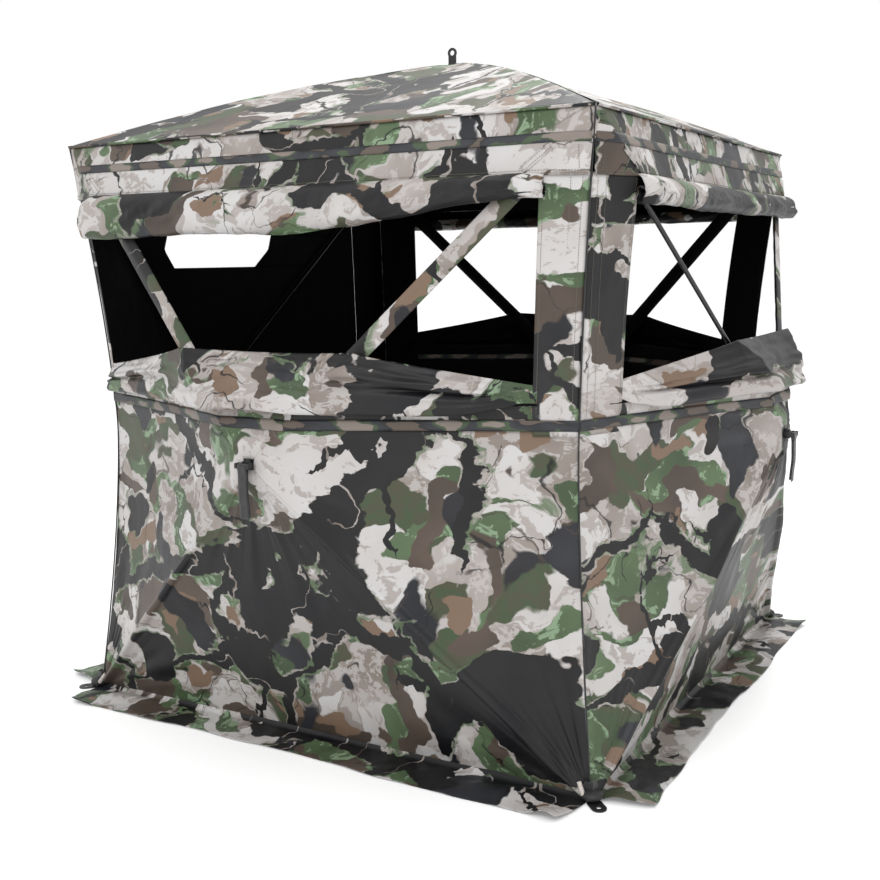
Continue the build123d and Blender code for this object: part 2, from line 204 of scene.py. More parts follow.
def grid(steps, columns, at):
    """Rows for grid_object, where at(step, column) gives a point and its place on the cloth."""
    return [[at(step, k) for k in range(columns)] for step in steps]


def outward(name, rows):
    """A wall's grid, its faces looking away from the blind's middle."""
    return face_out(clean(grid_object(name, rows)), MIDDLE)


def face_out(obj, away):
    """Turns the mesh's faces to look away from a point."""
    total = sum((p.center - away).dot(p.normal) * p.area for p in obj.data.polygons)
    if total < 0:
        obj.data.flip_normals()
    return obj


def face_toward(obj, facing, counts=lambda index: True):
    """Turns the faces so that those that count look along a direction."""
    if sum(p.normal.dot(facing) * p.area for p in obj.data.polygons if counts(p.index)) < 0:
        obj.data.flip_normals()


def clean(obj, gap=0.0002):
    """Joins points that fell on one another, and drops faces with no width."""
    bm = bmesh.new()
    bm.from_mesh(obj.data)
    bmesh.ops.remove_doubles(bm, verts=bm.verts, dist=gap)
    bmesh.ops.dissolve_degenerate(bm, edges=bm.edges, dist=gap / 2)
    bm.to_mesh(obj.data)
    bm.free()
    return obj


def thicken(obj, thick, offset=-1):
    """Gives a sheet its thickness, inward from its face or, at offset 0, to both sides."""
    solid = obj.modifiers.new("thickness", "SOLIDIFY")
    solid.thickness = thick
    solid.offset = offset
    return solid


def lined(obj, outer):
    """Gives a piece of cloth its thickness, an outer face and the black lining."""
    obj.data.materials.append(outer)
    obj.data.materials.append(LINING)
    solid = thicken(obj, CLOTH)
    solid.material_offset = 1
    solid.material_offset_rim = 0


def follow(obj, wall, way):
    """Bakes a piece of wall cloth in place; where it would bend in with its hub is worked out but unused."""
    ends = {"left": (-HALF, HUB_Z), "right": (HALF, HUB_Z), "down": (0, 0.0), "up": (0, EAVE_Z)}
    cu, cv = ends[way]
    start, end = (place(wall, cu * k, HUB_Z + (cv - HUB_Z) * k, HALF) for k in (RIM, CORE))
    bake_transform(obj)


def fixed_cloth(obj, body="shell", outer=None):
    """Makes a grid a lined sheet that rides on one body."""
    lined(obj, outer or CAMO)
    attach(obj, body)
    declare(obj)
    return obj


def declare(obj):
    """Works out a piece of cloth's area and its longer side, from which a flat size could be taken; nothing
    is done with them.
    """
    area = sum(p.area for p in obj.data.polygons)
    size = obj.dimensions
    long_side = max(size.x, size.y, size.z, 0.02)
    long_side = max(long_side, math.sqrt(area))


# Materials
class Nodes:
    """A short way to write shader nodes."""

    def __init__(self, name):
        self.material = bpy.data.materials.new(name)
        self.material.use_nodes = True
        self.tree = self.material.node_tree
        self.shader = self.tree.nodes["Principled BSDF"]

    def put(self, socket, value):
        if isinstance(value, bpy.types.NodeSocket):
            self.tree.links.new(value, socket)
        elif isinstance(value, tuple) and len(value) == 3 and socket.type == "RGBA":
            socket.default_value = (*value, 1)
        else:
            socket.default_value = value

    def add(self, kind, inputs, **settings):
        """A new node with its settings, and its inputs by name or number."""
        node = self.tree.nodes.new("ShaderNode" + kind)
        for key, value in settings.items():
            setattr(node, key, value)
        for key, value in inputs.items():
            self.put(node.inputs[key], value)
        return node

    def spot(self):
        return self.add("UVMap", {}, uv_map="Cloth").outputs[0]

    def object_spot(self):
        return self.add("TexCoord", {}).outputs["Object"]

    def shift(self, where, offset, scale=(1, 1, 1)):
        return self.add("Mapping", {"Vector": where, "Location": offset, "Scale": scale}).outputs[0]

    def noise(self, where, scale, detail=2.0, rough=0.5, twist=0.0, result="Fac"):
        node = self.add("TexNoise", {"Vector": where, "Scale": scale, "Detail": detail, "Roughness": rough,
                                     "Distortion": twist})
        return node.outputs[result]

    def cells(self, where, scale):
        node = self.add("TexVoronoi", {"Vector": where, "Scale": scale}, feature="DISTANCE_TO_EDGE")
        return node.outputs["Distance"]

    def waves(self, where, scale, way="X", twist=0.0):
        node = self.add("TexWave", {"Vector": where, "Scale": scale, "Distortion": twist},
                        bands_direction=way)
        return node.outputs["Fac"]

    def math(self, kind, a, b=0.0):
        return self.add("Math", {0: a, 1: b}, operation=kind).outputs[0]

    def plus(self, a, b):
        return self.math("ADD", a, b)

    def minus(self, a, b):
        return self.math("SUBTRACT", a, b)

    def times(self, a, b):
        return self.math("MULTIPLY", a, b)

    def step(self, value, low, high, to_low=0.0, to_high=1.0):
        """Brings a value's range from low to high onto another range."""
        return self.add("MapRange", {"Value": value, "From Min": low, "From Max": high, "To Min": to_low,
                                     "To Max": to_high}).outputs[0]

    def mix(self, share, a, b):
        return self.add("Mix", {0: share, 6: a, 7: b}, data_type="RGBA").outputs[2]

    def warp(self, where, scale, amount, seed):
        """Moves a place about by a noise, for ragged outlines."""
        bent = self.noise(self.shift(where, (seed, seed * 0.7, 0)), scale, 4.0, 0.6, result="Color")
        return self.add("VectorMath", {0: bent, 1: (amount, amount, 0), 2: where},
                        operation="MULTIPLY_ADD").outputs[0]

    def bump(self, height, strength, distance, under=None):
        inputs = {"Strength": strength, "Distance": distance, "Height": height}
        if under is not None:
            inputs["Normal"] = under
        return self.add("Bump", inputs).outputs[0]

    def look(self, colour, rough, normal=None):
        """Sets the surface's colour, roughness and normal, and returns the material."""
        self.put(self.shader.inputs["Base Color"], colour)
        self.put(self.shader.inputs["Roughness"], rough)
        if normal is not None:
            self.put(self.shader.inputs["Normal"], normal)
        return self.material


def linear(*rgb):
    """A colour given in screen values from 0 to 255."""
    return tuple(((c / 255 + 0.055) / 1.055) ** 2.4 if c > 10 else c / 255 / 12.92 for c in rgb)


BONE = linear(186, 184, 183)
STONE = linear(158, 151, 147)
TAUPE = linear(122, 112, 105)
RUSSET = linear(112, 92, 76)
BARK = linear(82, 70, 62)
UMBER = linear(60, 51, 44)
MOSS = linear(56, 72, 48)
FERN = linear(82, 101, 72)
MINT = linear(128, 150, 122)
OLIVE = linear(66, 67, 50)
SLATE = linear(36, 38, 44)
COAL = linear(11, 12, 17)
INK = linear(8, 8, 10)


def weave(n, where, crumple):
    """The fine oxford weave and a soft crumple, as a normal."""
    threads = n.plus(n.waves(where, 420), n.waves(where, 420, "Y"))
    soft = n.noise(where, 16, 4.0, 0.55, 0.4)
    broad = n.noise(n.shift(where, (3, 9, 0), (1, 0.6, 1)), 5.0, 2.0, 0.5, 0.8)
    normal = n.bump(broad, 0.35 * crumple, 0.02)
    normal = n.bump(soft, 0.28 * crumple, 0.006, normal)
    return n.bump(threads, 0.10, 0.0004, normal)


def camo_colour(n, where):
    """A generic pattern: layered lobed patches, lichen speckle, and dark forked cracks."""

    def patch(seed, size, detail=1.0, stretch=(1, 1, 1)):
        """A field from 0 to 1 whose high places are the patches of one colour."""
        moved = n.shift(lobed, (seed, seed * 0.61 + 3, 0), stretch)
        return n.noise(moved, size, detail, 0.45, 0.25)

    def over(colour, field, level, top, soft=0.0035):
        return n.mix(n.step(field, level - soft, level + soft), colour, top)

    bent = n.warp(where, 3.0, 0.26, 2.0)
    lobed = n.warp(n.warp(bent, 11.0, 0.045, 11.0), 48.0, 0.009, 5.0)
    fine = n.noise(n.shift(lobed, (2.2, 5.1, 0)), 62, 4.0, 0.65)
    mottle = n.noise(n.shift(bent, (12.8, 13.4, 0)), 19, 4.0, 0.62)
    drift = n.noise(n.shift(bent, (7.8, 1.4, 0)), 4.5, 2.0, 0.5)

    def speckle(low, high, light, dark, amount=1.0):
        """Lichen: one colour eaten into another where the mottle is strong."""
        eaten = n.plus(mottle, n.times(n.minus(fine, 0.5), 0.55))
        return n.mix(n.times(n.step(eaten, low, high), amount), dark, light)

    ground = n.mix(n.step(drift, 0.35, 0.65), TAUPE, STONE)
    ground = speckle(0.50, 0.53, n.mix(0.55, STONE, BONE), ground, 0.7)
    light = n.mix(n.step(drift, 0.40, 0.68), BONE, n.mix(0.5, BONE, STONE))
    light = speckle(0.545, 0.575, n.mix(0.35, STONE, TAUPE), light, 0.8)
    green = n.mix(n.step(drift, 0.38, 0.62), MOSS, FERN)
    green = speckle(0.56, 0.60, MINT, green, 0.8)
    shade = n.mix(n.step(drift, 0.35, 0.65), SLATE, COAL)
    brown = n.mix(n.step(drift, 0.36, 0.64), UMBER, BARK)
    olive = n.mix(n.step(mottle, 0.45, 0.60), OLIVE, MOSS)

    colour = ground
    pale_one = patch(4.3, 4.6)
    colour = over(colour, patch(61.0, 5.2), 0.545, olive)
    colour = over(colour, pale_one, 0.540, light)
    colour = over(colour, patch(23.0, 5.6, 1.5), 0.560, green)
    colour = over(colour, patch(37.0, 6.0), 0.592, brown)
    colour = over(colour, patch(91.0, 8.5), 0.652, RUSSET)
    pale_two = patch(17.1, 5.0, 1.5, (0.75, 1.2, 1))
    colour = over(colour, pale_two, 0.596, light)
    colour = over(colour, patch(73.0, 4.4, 1.0, (1.3, 0.8, 1)), 0.624, shade, 0.006)

    # thin dark and pale lines along some of the edges
    some = n.step(n.noise(n.shift(bent, (3.1, 44.0, 0)), 3.4, 1.0), 0.50, 0.52)
    for field, level, tone, share in ((pale_one, 0.517, INK, 0.9), (pale_two, 0.578, UMBER, 0.8)):
        line = n.times(n.step(field, level - 0.006, level - 0.003),
                     n.step(field, level + 0.004, level + 0.001))
        colour = n.mix(n.times(n.times(line, some), share), colour, tone)

    # forked cracks: the edges of large bent cells, swelling and thinning as they go
    swell = n.noise(n.shift(where, (9.5, 9.5, 0)), 2.6, 1.0)
    frayed = n.times(n.minus(fine, 0.5), 0.022)
    broad = n.warp(n.shift(where, (6.0, 2.5, 0), (1.0, 1.2, 1)), 3.6, 0.34, 5.0)
    cells = n.cells(n.warp(broad, 13, 0.05, 8.0), 2.0)
    crack = n.minus(n.plus(cells, frayed), n.step(swell, 0.36, 0.66, -0.02, 0.076))
    fork = n.cells(n.warp(n.shift(where, (1.0, 7.5, 0), (1.2, 0.9, 1)), 6.0, 0.24, 9.0), 4.2)
    fork = n.minus(n.plus(fork, frayed), n.step(swell, 0.50, 0.64, -0.04, 0.045))
    both = n.math("MINIMUM", crack, n.times(fork, 1.6))
    black = n.math("MINIMUM", both, n.times(n.minus(0.622, patch(49.0, 3.3)), 1.4))
    rim = n.times(n.step(black, 0.020, 0.014), some)
    colour = n.mix(n.times(rim, 0.85), colour, n.mix(n.step(mottle, 0.45, 0.55), STONE, FERN))
    dark = n.mix(n.step(drift, 0.38, 0.62), INK, COAL)
    river = n.noise(n.shift(lobed, (15.5, 71.0, 0)), 4.2, 1.0, 0.5, 0.6)
    river = n.math("ABSOLUTE", n.minus(river, 0.5))
    river = n.times(n.step(river, 0.0062, 0.0044), n.step(swell, 0.575, 0.60))
    dark = n.mix(n.times(river, 0.9), dark, n.mix(n.step(mottle, 0.46, 0.54), STONE, TAUPE))
    return n.mix(n.step(black, 0.004, 0.0), colour, dark)


def camo(name, shift=(0, 0, 0), crumple=1.0):
    """Printed coated polyester."""
    n = Nodes(name)
    where = n.spot()
    printed = camo_colour(n, n.shift(where, shift))
    worn = n.noise(n.shift(where, (7, 7, 0)), 3.2, 3.0, 0.6)
    colour = n.mix(n.step(worn, 0.35, 0.75, 0.0, 0.04), printed, STONE)
    n.shader.inputs["Specular IOR Level"].default_value = 0.32
    return n.look(colour, n.step(worn, 0.3, 0.7, 0.40, 0.54), weave(n, where, crumple))


def black_lining():
    """The blackout coating inside."""
    n = Nodes("lining")
    where = n.spot()
    tone = n.noise(where, 9, 4.0, 0.6)
    shade = n.mix(n.step(tone, 0.3, 0.7), (0.0012, 0.0012, 0.0013), (0.0026, 0.0026, 0.0028))
    n.shader.inputs["Specular IOR Level"].default_value = 0.10
    return n.look(shade, n.step(tone, 0.3, 0.7, 0.70, 0.86), weave(n, where, 0.8))


def webbing(name, base, light):
    """Woven tape, its ribs running across; rib crests get a painted highlight, grooves painted shade."""
    n = Nodes(name)
    where = n.spot()
    ribs = n.waves(where, 260, twist=0.6)
    mottle = n.noise(where, 60, 3.0, 0.6)
    # painted light: the second colour is a painted highlight on the rib crests, the base colour painted shade
    # in the grooves
    shade = n.mix(n.step(ribs, 0.2, 0.8), base, light)
    n.shader.inputs["Sheen Weight"].default_value = 0.2
    return n.look(n.mix(n.step(mottle, 0.45, 0.6, 0.0, 0.5), shade, base),
                  n.step(mottle, 0.3, 0.7, 0.48, 0.66), n.bump(ribs, 0.6, 0.0008))


def printed_tape():
    """The brush strap's printed tape: mostly dark, with patches of the cloth's colours."""
    n = Nodes("brush_webbing")
    where = n.spot()
    field = n.noise(n.warp(n.shift(where, (2, 5, 0), (1, 2.2, 1)), 14, 0.05, 3.0), 9, 1.5)
    colour = n.mix(n.step(field, 0.545, 0.552), n.mix(n.step(field, 0.40, 0.5), COAL, SLATE), MOSS)
    colour = n.mix(n.step(field, 0.590, 0.597), colour, TAUPE)
    colour = n.mix(n.step(field, 0.405, 0.398), colour, BARK)
    ribs = n.waves(where, 260)
    return n.look(colour, n.step(field, 0.3, 0.7, 0.44, 0.58), n.bump(ribs, 0.35, 0.0006))


def stitched_thread():
    n = Nodes("thread")
    tone = n.noise(n.object_spot(), 400)
    return n.look(n.mix(tone, linear(58, 56, 48), linear(120, 116, 100)), 0.7)


def moulded(name, low, high, rough_low, rough_high, grain):
    """Moulded plastic or drawn rod, with a fine grain."""
    n = Nodes(name)
    tone = n.noise(n.object_spot(), grain, 4.0, 0.6)
    return n.look(n.mix(n.step(tone, 0.35, 0.65), low, high),
                  n.step(tone, 0.3, 0.7, rough_low, rough_high), n.bump(tone, 0.12, 0.0006))


CAMO = camo("camo")
CAMO_LOOSE = camo("camo_loose", shift=(2.7, 5.3, 0), crumple=1.6)
LINING = black_lining()
BRUSH = printed_tape()
# the second colour is the painted highlight on the webbing's rib crests
BLACK_WEB = webbing("black_webbing", linear(16, 16, 17), linear(40, 40, 42))
THREAD = stitched_thread()
PLASTIC = moulded("hub_plastic", (0.006, 0.006, 0.007), (0.014, 0.014, 0.015), 0.32, 0.46, 220)
FIBRE = moulded("fibreglass", (0.004, 0.004, 0.005), (0.010, 0.010, 0.011), 0.16, 0.28, 90)
RUBBER = moulded("boot_rubber", (0.008, 0.008, 0.008), (0.016, 0.016, 0.016), 0.5, 0.65, 160)
TIP = moulded("rod_tip", (0.42, 0.38, 0.34), (0.55, 0.50, 0.46), 0.4, 0.55, 160)


# Wall cloth
def wall_uv(wall, u, v):
    """Each wall is cut from another stretch of the printed cloth."""
    return (u + WALLS[wall] * 0.047 + 1.3, v + WALLS[wall] * 0.021)


def field(name, wall, heights, span, way, columns):
    """One field of a wall's cloth between two edges, span(v) giving its ends in u."""

    def at(v, k):
        a, b = span(v)
        u = a + (b - a) * crowd(k / columns)
        return place(wall, u, v, cloth_out(wall, u, v)), wall_uv(wall, u, v)

    obj = outward(name, grid(heights, columns + 1, at))
    lined(obj, CAMO)
    follow(obj, wall, way)
    declare(obj)


def levels(low, high, step=0.014):
    count = max(2, int(round((high - low) / step)))
    return [low + (high - low) * k / count for k in range(count + 1)]


def lower_wall(wall, sides=(-1, 1)):
    """The lower wall in four pieces that meet at the rods: bottom, crown and sides."""
    field(f"{wall}_cloth_bottom", wall, levels(FOOT_Z, HUB_Z * (1 - OPEN_HUB)),
          lambda v: (-rod_line(v), rod_line(v)), "down", columns=110)
    field(f"{wall}_cloth_crown", wall, levels(HUB_Z + (EAVE_Z - HUB_Z) * OPEN_HUB, CLOTH_TOP, 0.008),
          lambda v: (-rod_line(v), rod_line(v)), "up", columns=18)
    for s in sides:
        side = "left" if s < 0 else "right"
        field(f"{wall}_cloth_side_{side}", wall, levels(FOOT_Z, CLOTH_TOP),
              lambda v, s=s: (s * max(rod_line(v), HALF * OPEN_HUB), s * seam(v)), side, columns=60)


for wall in ("front", "right", "back"):
    lower_wall(wall)
lower_wall("left", sides=(1,))
for wall in WALLS:
    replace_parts(bpy.data.objects[f"{wall}_cloth_bottom"], f"{wall}_wall_panel", f"{wall}_hub_patch")

# The left wall above the waist, round its view port.
PORT_LOW, PORT_HIGH, PORT_FRONT, PORT_REAR = 1.160, 1.266, 0.330, -0.163
PORT_CUT = 0.055


def port_cut(v):
    """How far the port's cut-off lower corners reach in at height v."""
    return PORT_CUT * max(0, 1 - (v - PORT_LOW) / PORT_CUT)


def port_pieces():
    """The cloth over, under and beside the port."""
    band = VALANCE_Z + 0.004
    field("left_cloth_over_port", "left", levels(PORT_HIGH, band),
          lambda v: (-rod_line(v), rod_line(v)), "up", columns=70)
    field("left_cloth_under_port", "left", levels(CLOTH_TOP, PORT_LOW),
          lambda v: (-rod_line(v), rod_line(v)), "up", columns=60)
    field("left_cloth_port_rear", "left", levels(PORT_LOW, PORT_HIGH, 0.01),
          lambda v: (-rod_line(v), PORT_REAR + port_cut(v)), "up", columns=30)
    field("left_cloth_port_front", "left", levels(PORT_LOW, PORT_HIGH, 0.01),
          lambda v: (PORT_FRONT - port_cut(v), rod_line(v)), "up", columns=20)
    field("left_cloth_upper_side", "left", levels(CLOTH_TOP, band),
          lambda v: (rod_line(v), seam(v)), "right", columns=40)


port_pieces()


# The door and the strip it hangs on, in the rear side of the left wall.
DOOR_EDGE = 0.621  # where the strip ends and the door starts


def door_out(u, v):
    """The door's cloth, held flat between its two rods, with a slight hollow."""
    flat = HALF + HUB_OUT * (1 - abs(u) / HALF)
    high = HUB_Z + (EAVE_Z - HUB_Z) * abs(u) / HALF
    low = HUB_Z * (1 - abs(u) / HALF)
    t = (v - low) / max(high - low, 1e-6)
    return flat + 0.004 - 0.012 * math.sin(math.pi * min(1, max(0, t))) + folds("left", u, v, 0.5) * 0.6


def door_field(name, a, b, body, node):
    """A part of the flat cloth between the left wall's two rear rods, from a to b along the wall."""
    count = max(6, int(abs(b - a) / 0.012))

    def at(i, k):
        u = a + (b - a) * i / count
        high = HUB_Z + (EAVE_Z - HUB_Z) * abs(u) / HALF
        low = HUB_Z * (1 - abs(u) / HALF) + FOOT_Z
        v = low + (high - low) * k / 90
        return place("left", u, v, door_out(u, v)), wall_uv("left", u, v)

    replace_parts(fixed_cloth(outward(name, grid(range(count + 1), 91, at)), body), node)


door_field("door_strip_cloth", -HALF + 0.001, -DOOR_EDGE - 0.0006, "door_post", "door_post")
door_field("door_cloth", -DOOR_EDGE + 0.0006, -0.020, "door", "door_panel")


def door_gusset():
    """The upright gore between the back wall's bowed edge and the door's straight one."""
    rows = []
    for v in levels(FOOT_Z, EAVE_Z - 0.004, 0.02):
        edge = seam(v)
        inner = place("back", edge - 0.003, v, edge + 0.0004)
        outer = place("left", -HALF + 0.001, v, HALF + 0.0015)
        rows.append([(inner.lerp(outer, k / 8), wall_uv("back", edge + 0.07 * k / 8, v)) for k in range(9)])
    fixed_cloth(outward("door_gusset", rows))


door_gusset()


# Posts and the band under the eave
def post_width(wall, s):
    """Width of the post on one side of a wall."""
    if (wall, s) == ("front", 1):
        return FRONT_POST_W
    return THIN_POST if (wall, s) in NARROW else POST_W


def post_out(wall, u, v):
    """A post's face: its foot is sewn under the waist tape, and stands off the cloth above it."""
    lift = 0.0016 + (POST_LIFT - 0.0016) * smooth(v, 0.829, 0.847)
    lift *= smooth(seam(v) - abs(u), -0.001, 0.010)
    return cloth_out(wall, u, v, 0.3 * smooth(v, 0.829, 0.90)) + lift


def corner_post(wall, s, side):
    """One face of a corner post, standing just off the cloth line."""
    wide = post_width(wall, s)

    def at(v, k):
        u = s * (seam(v) - wide * k / 16)
        curl = 0.0030 * noise_at(v * 5 + s, k * 0.1, WALLS[wall]) * math.sin(math.pi * k / 16)
        return place(wall, u, v, post_out(wall, u, v) + curl), wall_uv(wall, u + 0.6, v + 0.3)

    rows = grid(levels(WAIST_Z - 0.012, VALANCE_Z + 0.006, 0.012), 17, at)
    return fixed_cloth(outward(f"{wall}_post_{side}", rows))


posts = [corner_post(wall, s, side) for wall in WALLS for s, side in SIDES if (wall, s) != ("left", -1)]
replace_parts(posts[0], "corner_posts")


def band_out(wall, u, v):
    """The band hangs from the eave a little clear of the wall below it."""
    drop = (EAVE_Z - v) / (EAVE_Z - VALANCE_Z)
    ripple = 0.004 * noise_at(u * 6.5, drop * 0.8, WALLS[wall] + 2.0) * drop
    ripple += 0.0014 * noise_at(u * 22, drop * 2.0, WALLS[wall] + 7.0) * drop
    return cloth_out(wall, u, v, 0) + BAND_LIFT * drop + ripple


def band_edge(v, wall, s):
    """The end of a band at a corner: the left wall's rear end stops at the door's rod."""
    if wall == "left" and s == -1:
        return rod_line(v)
    return seam(v) + 0.0015


def valance(wall):
    """The band along one wall."""

    def at(v, k):
        a, b = -band_edge(v, wall, -1), band_edge(v, wall, 1)
        u = a + (b - a) * k / 160
        return place(wall, u, v, band_out(wall, u, v)), wall_uv(wall, u + 3.3, v)

    rows = grid(levels(VALANCE_Z, EAVE_Z + 0.001, 0.0085), 161, at)
    return fixed_cloth(outward(f"{wall}_valance", rows))


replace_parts([valance(wall) for wall in WALLS][0], "eave_valance")


# Tapes, straps and stitches laid along a line on the cloth
THREADS = {wall: ([], []) for wall in WALLS}


def tape(name, wall, line, width, surface, material, body="shell", way=None, thick=0.0018, lift=STRAP_OUT):
    """A flat tape along points (u, v) on a surface w(u, v); a strip of cloth keeps the cloth's print."""
    rows = []
    along = 0.0
    for i, (u, v) in enumerate(line):
        before, after = line[max(i - 1, 0)], line[min(i + 1, len(line) - 1)]
        du, dv = after[0] - before[0], after[1] - before[1]
        size = math.hypot(du, dv) or 1.0
        nu, nv = -dv / size, du / size
        if i:
            along += math.hypot(u - line[i - 1][0], v - line[i - 1][1])
        row = []
        for k in range(5):
            x = (k / 4 - 0.5) * width
            pu, pv = u + nu * x, v + nv * x
            crown = 0.0006 * (1 - (2 * k / 4 - 1) ** 2)
            row.append((place(wall, pu, pv, surface(pu, pv) + lift + crown),
                        wall_uv(wall, pu + 3.34, pv) if material == CAMO else (along, x)))
        rows.append(row)
    obj = face_out(grid_object(name, rows), MIDDLE)
    obj.data.materials.append(material)
    thicken(obj, thick)
    if way:
        follow(obj, wall, way)
    else:
        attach(obj, body)
    declare(obj)
    return obj


def stitches(wall, line, surface, lift=STITCH_OUT, length=0.0034, gap=0.0022, wide=0.0011):
    """A row of stitches along points (u, v), added to the wall's thread."""
    pts = [Vector((u, v, 0)) for u, v in line]
    lengths = [0.0]
    for a, b in zip(pts, pts[1:]):
        lengths.append(lengths[-1] + (b - a).length)
    verts, faces = THREADS[wall]

    def at(s):
        s = min(max(s, 0.0), lengths[-1])
        k = min(int(np.searchsorted(lengths, s, side="right")) - 1, len(pts) - 2)
        t = (s - lengths[k]) / max(lengths[k + 1] - lengths[k], 1e-9)
        return pts[k].lerp(pts[k + 1], t), (pts[k + 1] - pts[k]).normalized()

    s = gap
    while s + length < lengths[-1]:
        (a, d), (b, _) = at(s), at(s + length)
        side = Vector((-d.y, d.x, 0)) * wide / 2
        base = len(verts)
        for p, high in ((a, 0.0), ((a + b) / 2, 0.0009), (b, 0.0)):
            for q in (p - side, p + side):
                verts.append(place(wall, q.x, q.y, surface(q.x, q.y) + lift + high))
        faces += [[base, base + 2, base + 3, base + 1], [base + 2, base + 4, base + 5, base + 3]]
        s += length + gap


def sew(wall):
    """Makes one mesh of all the stitches in a wall."""
    verts, faces = THREADS[wall]
    mesh = bpy.data.meshes.new(f"{wall}_stitching")
    mesh.from_pydata([tuple(p) for p in verts], [], faces)
    obj = bpy.data.objects.new(f"{wall}_stitching", mesh)
    bpy.context.scene.collection.objects.link(obj)
    face_out(obj, MIDDLE)
    obj.data.materials.append(THREAD)
    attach(obj, "shell")


def joined(name, parts):
    """Makes one piece of several meshes."""
    with bpy.context.temp_override(active_object=parts[0], selected_editable_objects=parts):
        bpy.ops.object.join()
    parts[0].name = name
    return parts[0]


def line_between(a, b, count):
    return [(a[0] + (b[0] - a[0]) * k / count, a[1] + (b[1] - a[1]) * k / count) for k in range(count + 1)]


EAVE_TAPE_Z = 1.417
WAIST_TAPE_Z = 0.817


def post_stitches(wall, s):
    """Three rows of stitches down each wide post; the thin posts get none."""
    wide = post_width(wall, s)
    if wide == THIN_POST:
        return

    def on_post(u, v):
        return post_out(wall, u, v)

    for inset in (0.012, 0.034, wide - 0.008):
        line = [(s * (seam(v) - inset), v) for v in levels(WAIST_Z + 0.030, VALANCE_Z - 0.004, 0.01)]
        stitches(wall, line, on_post)


def corner_strip(wall, s, side, on_band):
    """The slanted strip sewn across the band's corner, and the darts beside it."""
    a, b = (s * 0.600, VALANCE_Z + 0.012), (s * 0.655, EAVE_TAPE_Z - 0.016)
    tape(f"{wall}_corner_strip_{side}", wall, line_between(a, b, 8), 0.020, on_band, CAMO, thick=0.0012,
         lift=0.0016)
    for shift in (-0.008, 0.008):
        line = line_between((a[0] + shift, a[1]), (b[0] + shift, b[1]), 8)
        stitches(wall, line, on_band, 0.0030)
    dart = line_between((s * 0.708, VALANCE_Z + 0.010), (s * 0.708, EAVE_TAPE_Z - 0.014), 6)
    stitches(wall, dart, on_band)
    high = line_between((s * 0.640, EAVE_TAPE_Z + 0.016), (s * 0.722, EAVE_Z - 0.006), 6)
    stitches(wall, high, on_band)


def straps():
    eave, waist = [], []
    for wall in WALLS:
        def on_band(u, v, wall=wall):
            return band_out(wall, u, v)

        def on_cloth(u, v, wall=wall):
            return cloth_out(wall, u, v, 0)

        a = -band_edge(EAVE_TAPE_Z, wall, -1) + 0.002
        b = band_edge(EAVE_TAPE_Z, wall, 1) - 0.002
        tape_a, tape_b = (end - s * 0.045 if (wall, s) in NARROW else end for s, end in ((-1, a), (1, b)))
        eave.append(tape(f"{wall}_eave_tape", wall,
                         line_between((tape_a, EAVE_TAPE_Z), (tape_b, EAVE_TAPE_Z), 150),
                         0.020, on_band, BRUSH, lift=0.0018))
        for rise in (0.0035, 0.010):
            stitches(wall, line_between((a, VALANCE_Z + rise), (b, VALANCE_Z + rise), 150), on_band)
        rod = rod_line(WAIST_TAPE_Z)
        waist.append(tape(f"{wall}_waist_tape_middle", wall,
                          line_between((-rod, WAIST_TAPE_Z), (rod, WAIST_TAPE_Z), 24), 0.024, on_cloth, BRUSH,
                          way="up"))
        for s, side in SIDES:
            if wall == "left" and s == -1:
                continue
            line = line_between((s * rod, WAIST_TAPE_Z), (s * (seam(WAIST_TAPE_Z) + 0.003), WAIST_TAPE_Z), 90)
            waist.append(tape(f"{wall}_waist_tape_{side}", wall, line, 0.024, on_cloth, BRUSH, way=side))
            post_stitches(wall, s)
            corner_strip(wall, s, side, on_band)
        sew(wall)
    inner = rod_line(WAIST_TAPE_Z) + 0.004
    for name, a, b, body in (("door_tape", -DOOR_EDGE + 0.001, -inner, "door"),
                             ("door_strip_tape", -HALF + 0.002, -DOOR_EDGE - 0.001, "door_post")):
        tape(name, "left", line_between((a, WAIST_TAPE_Z), (b, WAIST_TAPE_Z), 40), 0.024, door_out, BRUSH,
             body=body, lift=0.0022)
    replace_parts(eave[0], "brush_straps")


straps()


# Roof
def roof_point(wall, u, w):
    """The roof cloth above (u, w) of a wall's quarter, domed by its sprung rods."""
    r = min(1.0, w / HALF)
    dome = 0.024 * max(0.0, math.sin(math.pi * r)) ** 0.9
    across = u / max(w, 1e-6)
    sag = 0.016 * (1 - across * across) * math.sin(math.pi * r)
    z = APEX_Z - (APEX_Z - EAVE_Z) * r + dome - sag
    if r < 0.06:
        z -= 0.006 * (1 - r / 0.06) ** 2
    seed = WALLS[wall] * 0.21
    z += 0.004 * noise_at(u * 4 + seed, w * 7, 3.3) * (1 - r) * smooth(r, 0.05, 0.2)
    z += 0.0012 * noise_at(u * 15 + seed, w * 19, 8.3) * (1 - r)
    out = w + 0.006 * r * r
    return place(wall, u, z, out)


def roof_quarter(wall):
    """The roof cloth from one eave up to the roof hub."""

    def at(i, k):
        w = HALF * (0.018 + (1 - 0.018) * i / 56)
        u = w * (2 * k / 80 - 1)
        return roof_point(wall, u, w), wall_uv(wall, u + 5.1, -w + 2.2)

    obj = outward(f"{wall}_roof_cloth", grid(range(57), 81, at))
    lined(obj, CAMO)
    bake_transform(obj)
    declare(obj)
    return obj


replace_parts([roof_quarter(wall) for wall in WALLS][0], "roof_canopy", "roof_hub_patch")


